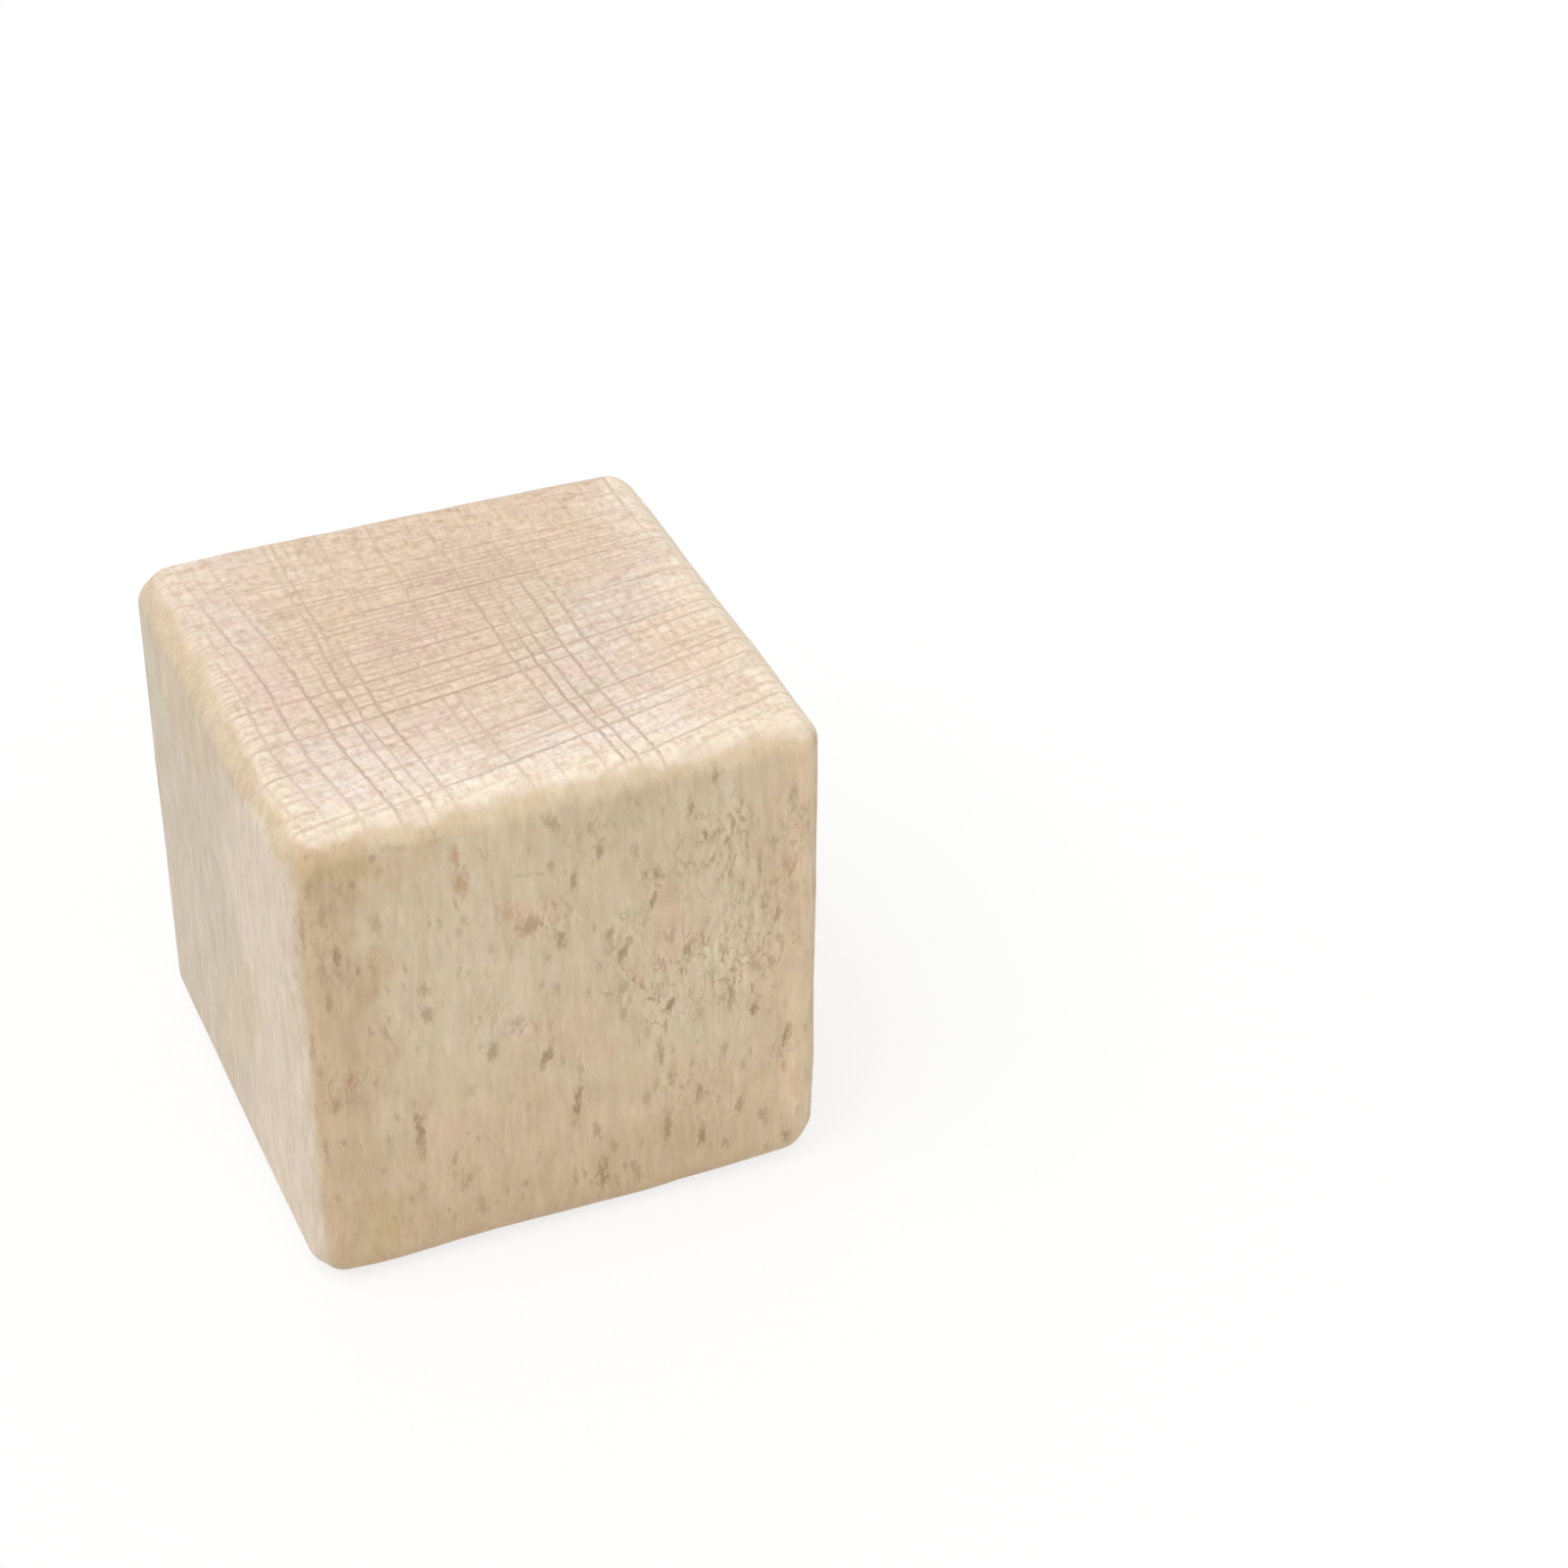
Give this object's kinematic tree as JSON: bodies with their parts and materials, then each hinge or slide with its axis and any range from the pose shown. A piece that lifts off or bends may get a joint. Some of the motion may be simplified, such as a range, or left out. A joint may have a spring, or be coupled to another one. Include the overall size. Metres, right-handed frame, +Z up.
{
  "type": "wooden cube",
  "caption": "Solid beech cube with softly sanded edges and corners, a plain blank block for craft work, stacking or the desk.",
  "frame": {"origin": "centre of the bottom face, on the surface that the cube rests on", "axes": "+Z up, along the grain; -Y the front, the side with the flecks of the wood's rays; +X to the right, across the growth rings"},
  "size_m": [0.04, 0.04, 0.04],
  "materials": {
    "beech": "bare sanded beech, matt"
  },
  "bodies": {
    "root": {"cube_block": "beech"}
  },
  "joints": []
}
